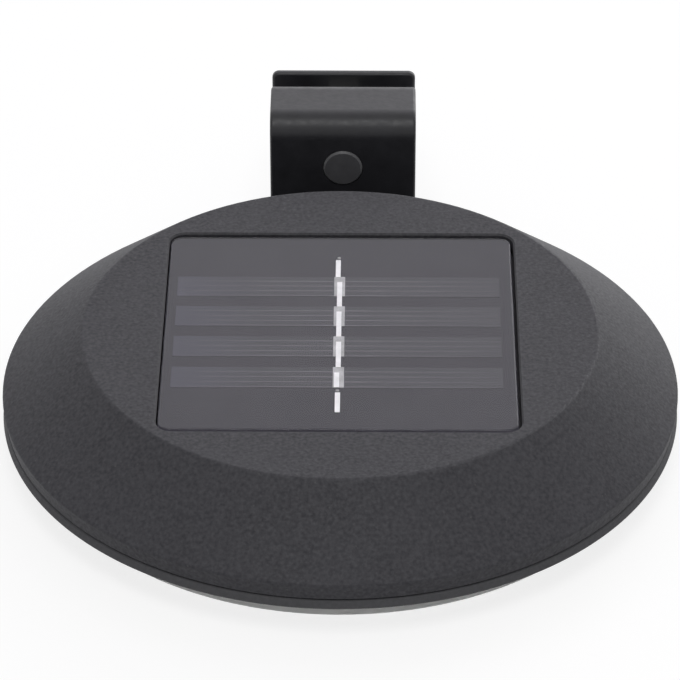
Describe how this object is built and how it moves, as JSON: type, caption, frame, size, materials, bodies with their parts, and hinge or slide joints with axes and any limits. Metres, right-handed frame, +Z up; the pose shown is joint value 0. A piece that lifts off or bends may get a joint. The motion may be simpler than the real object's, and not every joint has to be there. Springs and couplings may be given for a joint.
{
  "type": "solar fence light",
  "caption": "Round solar lamp for a fence or gutter edge, with a square panel on top, a frosted lens below and a folded steel clamp bracket.",
  "frame": {"origin": "middle of the lens's flat underside, on the lamp's round axis, where the lamp rests", "axes": "+Z up through the solar panel, +Y from the lamp to its bracket, +X to the right seen from the front"},
  "size_m": [0.1202, 0.1501, 0.0286],
  "materials": {
    "black_abs": "fine matt moulded grain",
    "frosted_lens": "frosted, translucent",
    "powder_coat": "satin black powder coat",
    "zinc_steel": "bright zinc plate",
    "black_rubber": "matt",
    "white_foam": "closed cell foam tape",
    "panel_backing": "dark laminate",
    "silicon": "dark blue grey, smooth",
    "tinned_copper": "bright tinned strip",
    "tab_solder": "dull solder",
    "clear_resin": "clear glossy face",
    "white_abs": "white, satin",
    "led_epoxy": "clear epoxy",
    "green_board": "green solder mask",
    "chip_epoxy": "matt moulded epoxy",
    "ferrite": "dark ferrite",
    "can_metal": "drawn can",
    "switch_metal": "tin plate",
    "battery_wrap": "printed-free green sleeve",
    "nickel": "nickel plate",
    "red_wire": "PVC insulation",
    "black_wire": "PVC insulation",
    "black_nylon": "moulded nylon"
  },
  "bodies": {
    "lamp": {"top_cover": "black_abs", "base_frame": "black_abs", "seal_ring": "black_rubber", "lens": "frosted_lens", "housing_screws": "zinc_steel", "panel_pad": "white_foam", "panel_board": "panel_backing", "solar_cells": "silicon", "cell_tabs": "tab_solder", "busbar_ribbon": "tinned_copper", "panel_cover": "clear_resin", "reflector": "white_abs", "leds": "led_epoxy", "circuit_board": "green_board", "board_screws": "zinc_steel", "driver_chip": "chip_epoxy", "choke": "ferrite", "capacitor": "can_metal", "switch_body": "switch_metal", "battery_cell": "battery_wrap", "battery_holder": "black_nylon", "contact_plus": "nickel", "contact_minus": "nickel", "panel_wire_red": "red_wire", "panel_wire_black": "black_wire", "battery_wire_red": "red_wire", "battery_wire_black": "black_wire", "bracket": "powder_coat", "bracket_screws": "zinc_steel", "clamp_nut": "zinc_steel"},
    "tip": {"screw_tip": "black_nylon"},
    "screw": {"clamp_screw": "zinc_steel", "clamp_knob": "black_nylon"},
    "slider": {"switch_slider": "black_nylon"}
  },
  "joints": [
    {"name": "tip_slide", "type": "slide", "parent": "lamp", "child": "tip", "axis": [0, 1, 0], "range_m": [0, 0.01]},
    {"name": "screw_turn", "type": "hinge", "parent": "tip", "child": "screw", "pos_m": [0, 0.06485, 0.0182], "axis": [0, 1, 0], "range_deg": [0, 3600]},
    {"name": "switch_slide", "type": "slide", "parent": "lamp", "child": "slider", "axis": [1, 0, 0], "range_m": [0, 0.002]}
  ],
  "couplings": [
    {"joint": "screw_turn", "follows": "tip_slide", "rad_per_m": 6283.2}
  ]
}
